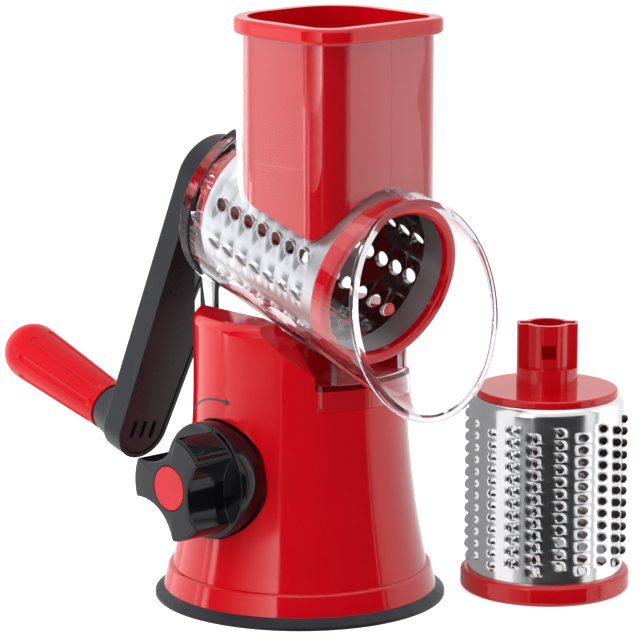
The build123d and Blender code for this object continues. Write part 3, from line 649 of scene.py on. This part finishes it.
def knob_outline(angle):
    """The lobed grip's radius at an angle round the knob's axis, with its edges softened."""
    radius = KNOB_LOBE_RADIUS
    reach = KNOB_SCOOP_REACH + KNOB_SCOOP_RADIUS
    for lobe in range(KNOB_LOBES):
        middle = math.radians(90 - KNOB_LOBE_ANGLE + 360 / KNOB_LOBES * (lobe + 0.5))
        off = math.cos(angle - middle)
        inside = KNOB_SCOOP_RADIUS**2 - (reach * math.sin(angle - middle)) ** 2
        if off > 0 and inside > 0:
            scoop = reach * off - math.sqrt(inside)
            radius = soft_least(radius, scoop, 0.5)
    return radius


def soft_least(first, second, blend_width):
    """The smaller of two lengths, rounded where they cross."""
    share = max(0.0, min(1.0, 0.5 + 0.5 * (second - first) / blend_width))
    return second + (first - second) * share - blend_width * share * (1 - share)


def knob_piece():
    """The locking knob: a round skirt, a scooped grip with soft edges and a matt face round the cap."""
    sheet = Sheet()
    turn = [2 * math.pi * n / KNOB_STEPS for n in range(KNOB_STEPS)]
    lobed = [knob_outline(a) for a in turn]
    front = KNOB_START + KNOB_LENGTH
    ledge = KNOB_START + KNOB_SKIRT_LENGTH

    def ring(radii, height):
        return [sheet.point(r * math.cos(a), r * math.sin(a), height) for r, a in zip(radii, turn)]

    def even(radius):
        return [radius] * KNOB_STEPS

    rows = [ring(even(KNOB_BORE), KNOB_START)]
    rows.append(ring(even(KNOB_SKIRT_RADIUS - KNOB_BACK_ROUND), KNOB_START))
    rows.append(ring(even(KNOB_SKIRT_RADIUS), KNOB_START + KNOB_BACK_ROUND))
    rows.append(ring(even(KNOB_SKIRT_RADIUS), ledge - KNOB_LEDGE_ROUND))
    for lean in (30, 60, 90):
        across = KNOB_LEDGE_ROUND * math.cos(math.radians(lean))
        up = KNOB_LEDGE_ROUND * math.sin(math.radians(lean))
        rows.append(ring(even(KNOB_SKIRT_RADIUS - KNOB_LEDGE_ROUND + across), ledge - KNOB_LEDGE_ROUND + up))
    rows.append(ring([r + KNOB_FILLET for r in lobed], ledge))
    rows.append(ring([r + 0.3 * KNOB_FILLET for r in lobed], ledge + 0.3 * KNOB_FILLET))
    rows.append(ring(lobed, ledge + KNOB_FILLET))
    rows.append(ring(lobed, front - KNOB_EDGE_ROUND))
    for lean in (22.5, 45, 67.5, 90):
        across = KNOB_EDGE_ROUND * math.cos(math.radians(lean))
        up = KNOB_EDGE_ROUND * math.sin(math.radians(lean))
        rows.append(ring([r - KNOB_EDGE_ROUND + across for r in lobed], front - KNOB_EDGE_ROUND + up))
    face_start = len(rows) - 1
    rows.append(ring(even(KNOB_CAP_RADIUS + 0.55), front))
    rows.append(ring(even(KNOB_CAP_RADIUS + KNOB_CAP_GAP), front - 0.25))
    rows.append(ring(even(KNOB_CAP_RADIUS + KNOB_CAP_GAP), front - KNOB_CAP_DEPTH))
    rows.append(ring(even(KNOB_SCREW_HOLE), front - KNOB_CAP_DEPTH))
    for n, (first, second) in enumerate(zip(rows, rows[1:])):
        sheet.band(first, second, mark=1 if n == face_start else 0)
    finishes = [KNOB_BLACK, KNOB_FACE_BLACK]
    knob = sheet.piece("locking_knob", knob_matrix(), finishes, "knob", "knob_plastic", 45.0)
    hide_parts("knob")


# ---------------------------------------------------------------- small details


def column_radius(height):
    """The column's outside radius at a height: straight above, flaring to the foot below."""
    if height >= COLUMN_FLARE_START:
        return COLUMN_RADIUS
    fall = COLUMN_FLARE_START - COLUMN_FOOT
    flare = COLUMN_FOOT_RADIUS - COLUMN_RADIUS
    bend = (fall**2 + flare**2) / (2 * flare)
    return COLUMN_RADIUS + bend - math.sqrt(bend**2 - (COLUMN_FLARE_START - height) ** 2)


def turn_mark():
    """The printed arc with arrow heads over the knob that shows which way it turns."""
    sheet = Sheet()

    def spot(radius, degrees):
        angle = math.radians(degrees)
        across = -radius * math.cos(angle)
        height = KNOB_AXIS_HEIGHT + radius * math.sin(angle)
        out = column_radius(height) + ARC_LIFT
        return sheet.point(-math.sqrt(out**2 - across**2), across, height)

    def strip(edges):
        rows = []
        for degrees, half in edges:
            steps = range(STRIP_STEPS + 1)
            rows.append([spot(ARC_RADIUS + half * (2 * n / STRIP_STEPS - 1), degrees) for n in steps])
        for first, second in zip(rows, rows[1:]):
            sheet.band(first, second, closed=False)

    start, end = ARC_ENDS
    strip([(start + (end - start) * n / ARC_STEPS, ARC_HALF_LINE) for n in range(ARC_STEPS + 1)])
    for base, tip in zip(ARC_ENDS, ARC_TIPS):
        shares = [n / HEAD_STEPS for n in range(HEAD_STEPS + 1)]
        strip([(base + (tip - base) * s, HEAD_HALF * (1 - s) + HEAD_POINT) for s in shares])
    sheet.piece("turn_mark", Matrix.Identity(4), [MARK_INK], "base", "black_plastic")


def parting_line():
    """The fine raised line up the chute's front where the mould's halves met."""
    sheet = Sheet()
    bends = [math.radians(180 * k / LINE_ROUND) for k in range(LINE_ROUND + 1)]
    outline = [(-LINE_HALF * math.cos(b), CHUTE_FRONT + LINE_SINK - LINE_LIFT * math.sin(b)) for b in bends]
    rows = []
    for n in range(LINE_STEPS + 1):
        height = LINE_LOW + (LINE_HIGH - LINE_LOW) * n / LINE_STEPS
        rows.append([sheet.point(x, y, height) for x, y in outline])
    for first, second in zip(rows, rows[1:]):
        sheet.band(first, second, closed=False)
    sheet.piece("parting_line", Matrix.Identity(4), [CLEAR], "housing", "clear_plastic")


# ---------------------------------------------------------------- stage


def ray_share(tree):
    """1 for rays from the camera, from a gloss or through glass, and 0 for others."""
    path = add(tree, "ShaderNodeLightPath")
    total = add(tree, "ShaderNodeMath", operation="MAXIMUM")
    both = add(tree, "ShaderNodeMath", operation="MAXIMUM")
    link(tree, path.outputs["Is Camera Ray"], both.inputs[0])
    link(tree, path.outputs["Is Glossy Ray"], both.inputs[1])
    link(tree, both.outputs["Value"], total.inputs[0])
    link(tree, path.outputs["Is Transmission Ray"], total.inputs[1])
    return total.outputs["Value"]


def white_world():
    """White where it is seen, and a softer fill where it only lights."""
    world = bpy.data.worlds.new("studio")
    scene.world = world
    world.use_nodes = True
    tree = world.node_tree
    tree.nodes.clear()
    seen = add(tree, "ShaderNodeBackground")
    fill = add(tree, "ShaderNodeBackground")
    fill.inputs["Strength"].default_value = WORLD_FILL
    for shader in (seen, fill):
        shader.inputs["Color"].default_value = (1.0, 1.0, 1.0, 1.0)
    mix = add(tree, "ShaderNodeMixShader")
    output = add(tree, "ShaderNodeOutputWorld")
    link(tree, ray_share(tree), mix.inputs[0])
    link(tree, fill.outputs["Background"], mix.inputs[1])
    link(tree, seen.outputs["Background"], mix.inputs[2])
    link(tree, mix.outputs["Shader"], output.inputs["Surface"])


def plane_object(name, corners, finish):
    """A flat four-cornered stage object."""
    mesh = bpy.data.meshes.new(name)
    mesh.from_pydata(corners, [], [(0, 1, 2, 3)])
    mesh.uv_layers.new(name="span")
    for loop, uv in zip(mesh.uv_layers["span"].data, ((0, 0), (1, 0), (1, 1), (0, 1))):
        loop.uv = uv
    mesh.materials.append(finish)
    made = bpy.data.objects.new(name, mesh)
    scene.collection.objects.link(made)
    return made


def pale_floor():
    """A pale floor that shows as white and keeps the contact shadow."""
    made = bpy.data.materials.new("pale_floor")
    made.use_nodes = True
    tree = made.node_tree
    tree.nodes.clear()
    matt = add(tree, "ShaderNodeBsdfDiffuse")
    matt.inputs["Color"].default_value = (0.8, 0.8, 0.8, 1.0)
    glow = add(tree, "ShaderNodeEmission")
    level = add(tree, "ShaderNodeMath", operation="MULTIPLY")
    link(tree, ray_share(tree), level.inputs[0])
    level.inputs[1].default_value = FLOOR_GLOW
    link(tree, level.outputs["Value"], glow.inputs["Strength"])
    both = add(tree, "ShaderNodeAddShader")
    output = add(tree, "ShaderNodeOutputMaterial")
    link(tree, matt.outputs["BSDF"], both.inputs[0])
    link(tree, glow.outputs["Emission"], both.inputs[1])
    link(tree, both.outputs["Shader"], output.inputs["Surface"])
    half = FLOOR_HALF
    corners = [(-half, -half, 0.0), (half, -half, 0.0), (half, half, 0.0), (-half, half, 0.0)]
    plane_object("floor", corners, made).visible_glossy = False


def panel_corners(turn, distance, half_width, low, high):
    """The corners of an upright panel that faces the object, right one first as the camera sees it.

    Turn is in degrees round from the camera, to the right.
    """
    angle = VIEW_TURN + math.radians(turn)
    out = Vector((math.sin(angle), -math.cos(angle), 0.0))
    right = Vector((math.cos(angle), math.sin(angle), 0.0))
    middle = out * distance
    left_end = middle - right * half_width
    right_end = middle + right * half_width
    up = Vector((0.0, 0.0, 1.0))
    return [right_end + up * low, left_end + up * low, left_end + up * high, right_end + up * high]


def lamp_finish(name, strength, fade):
    """Light from a panel's front, fading from its right end to its left: both ends' shares and a power."""
    made = bpy.data.materials.new(name)
    made.use_nodes = True
    tree = made.node_tree
    tree.nodes.clear()
    span = add(tree, "ShaderNodeUVMap", uv_map="span")
    split = add(tree, "ShaderNodeSeparateXYZ")
    link(tree, span.outputs["UV"], split.inputs["Vector"])
    start, end, power = fade
    share = spread(tree, split.outputs["X"], start, end, 0.0, 1.0)
    curve = add(tree, "ShaderNodeMath", operation="POWER")
    link(tree, share, curve.inputs[0])
    curve.inputs[1].default_value = power
    level = add(tree, "ShaderNodeMath", operation="MULTIPLY")
    link(tree, curve.outputs["Value"], level.inputs[0])
    level.inputs[1].default_value = strength
    glow = add(tree, "ShaderNodeEmission")
    link(tree, level.outputs["Value"], glow.inputs["Strength"])
    back = add(tree, "ShaderNodeNewGeometry")
    dark = add(tree, "ShaderNodeBsdfTransparent")
    mix = add(tree, "ShaderNodeMixShader")
    output = add(tree, "ShaderNodeOutputMaterial")
    link(tree, back.outputs["Backfacing"], mix.inputs[0])
    link(tree, glow.outputs["Emission"], mix.inputs[1])
    link(tree, dark.outputs["BSDF"], mix.inputs[2])
    link(tree, mix.outputs["Shader"], output.inputs["Surface"])
    return made


def soft_lamp(name, corners, strength, fade=(1.0, 1.0, 1.0)):
    """A soft panel lamp that the camera doesn't see."""
    lamp = plane_object(name, corners, lamp_finish(name, strength, fade))
    lamp.visible_camera = False
    lamp.visible_shadow = False
    return lamp


def gloss_card(name, corners, level):
    """A card of an even grey level that only shows in reflections."""
    made = bpy.data.materials.new(name)
    made.use_nodes = True
    tree = made.node_tree
    tree.nodes.clear()
    shade = add(tree, "ShaderNodeEmission")
    shade.inputs["Strength"].default_value = level
    output = add(tree, "ShaderNodeOutputMaterial")
    link(tree, shade.outputs["Emission"], output.inputs["Surface"])
    card = plane_object(name, corners, made)
    card.visible_camera = False
    card.visible_diffuse = False
    card.visible_transmission = False
    card.visible_shadow = False


def card_along(right, near, far):
    """The corners of an upright card that lies along the line of sight, right of the middle."""
    across = Vector((math.cos(VIEW_TURN), math.sin(VIEW_TURN), 0.0))
    towards = Vector((math.sin(VIEW_TURN), -math.cos(VIEW_TURN), 0.0))
    first = across * right + towards * near
    last = across * right + towards * far
    low = Vector((0.0, 0.0, CARD_FOOT))
    high = Vector((0.0, 0.0, CARD_TOP))
    return [first + low, last + low, last + high, first + high]


def overhead_corners(height, half):
    """The corners of a level panel over the object, facing down."""
    return [(-half, half, height), (half, half, height), (half, -half, height), (-half, -half, height)]


def studio():
    """Floor, lamps and cards."""
    white_world()
    pale_floor()
    soft_lamp("lamp_front_left", panel_corners(-50, 1.0, 0.60, CHUTE_TOP, LAMP_TOP), 3.4, (1.0, 0.0, 2.4))
    soft_lamp("lamp_front_low", panel_corners(-52.5, 1.0, 0.63, LAMP_FOOT, CHUTE_FOOT), 1.4, (0.05, 1.0, 0.8))
    soft_lamp("lamp_left_strip", panel_corners(-92.6, 1.0, 0.07, CHUTE_FOOT, STRIP_TOP), 2.6, (0.1, 1.0, 1.0))
    soft_lamp("lamp_chute", panel_corners(-84.5, 1.0, 0.05, CHUTE_FOOT, CHUTE_TOP), 3.6)
    soft_lamp("lamp_left", panel_corners(-118, 1.0, 0.345, LAMP_FOOT, LAMP_TOP), 1.8, (0.7, 1.0, 1.0))
    soft_lamp("lamp_right_edge", panel_corners(79.5, 1.0, 0.084, LAMP_FOOT, LAMP_TOP), 2.1, (1.0, 0.0, 1.4))
    soft_lamp("lamp_right", panel_corners(108, 1.0, 0.40, LAMP_FOOT, LAMP_TOP), 1.9, (0.5, 1.0, 1.0))
    soft_lamp("lamp_over", overhead_corners(1.15, 0.55), 1.7)
    fill = soft_lamp("lamp_fill", panel_corners(-72, 0.9, 0.40, 0.0, 0.90), 2.3)
    fill.visible_glossy = False
    fill.visible_transmission = False
    gloss_card("card_front", panel_corners(27, 1.0, 1.05, -0.6, STRIP_TOP), 0.03)
    gloss_card("card_chute", panel_corners(-51, 1.0, 0.60, CHUTE_FOOT, CHUTE_TOP), 0.02)
    gloss_card("card_left", panel_corners(-84, 1.05, 0.10, CHUTE_TOP, STRIP_TOP), 0.0)
    gloss_card("card_column", card_along(0.069, -0.070, 0.042), 1.2)
    gloss_card("card_drum", card_along(0.071, 0.018, 0.042), 1.1)
    gloss_card("card_drum_back", card_along(0.071, -0.070, 0.018), 0.35)
    gloss_card("card_spare", card_along(0.205, 0.040, 0.076), 1.0)


def camera():
    """The camera at the photograph's view."""
    data = bpy.data.cameras.new("view")
    data.sensor_width = 36.0
    data.lens = VIEW_LENS
    data.shift_x, data.shift_y = VIEW_SHIFT
    data.clip_end = 20.0
    view = bpy.data.objects.new("view", data)
    level = math.cos(VIEW_PITCH)
    back = Vector((math.sin(VIEW_TURN) * level, -math.cos(VIEW_TURN) * level, math.sin(VIEW_PITCH)))
    view.location = VIEW_TARGET + back * VIEW_DISTANCE
    view.rotation_euler = back.to_track_quat("Z", "Y").to_euler()
    scene.collection.objects.link(view)
    scene.camera = view


# ---------------------------------------------------------------- the object

scene.view_settings.view_transform = "Standard"
dress_nodes()
coarse = ToothForm(hole=3.1, lip=0.5, lean=20.0, rise=0.45, ramp=0.7, room=4.2)
fine = ToothForm(hole=1.9, lip=0.45, lean=44.0, rise=0.28, ramp=1.0, room=2.6)
coarse_place = axis_matrix() @ Matrix.Rotation(COARSE_SHEET_TURN, 4, "Z")
coarse_rows = {"columns": 12, "stagger": False, "teeth": 7, "pitch": 9.4, "first": 12.0, "form": coarse}
fine_rows = {"columns": 20, "stagger": True, "teeth": 12, "pitch": 5.6, "first": 10.5, "form": fine}
coarse_shell = drum_shell("coarse_shell", coarse_place, "drum", SATIN_STEEL, **coarse_rows)
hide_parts("drum_shell")
fine_shell = drum_shell("fine_shell", spare_matrix(), "spare_drum", SHEET_STEEL, **fine_rows)
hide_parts("spare_drum_shell")
knob_piece()
turn_mark()
parting_line()
studio()
camera()
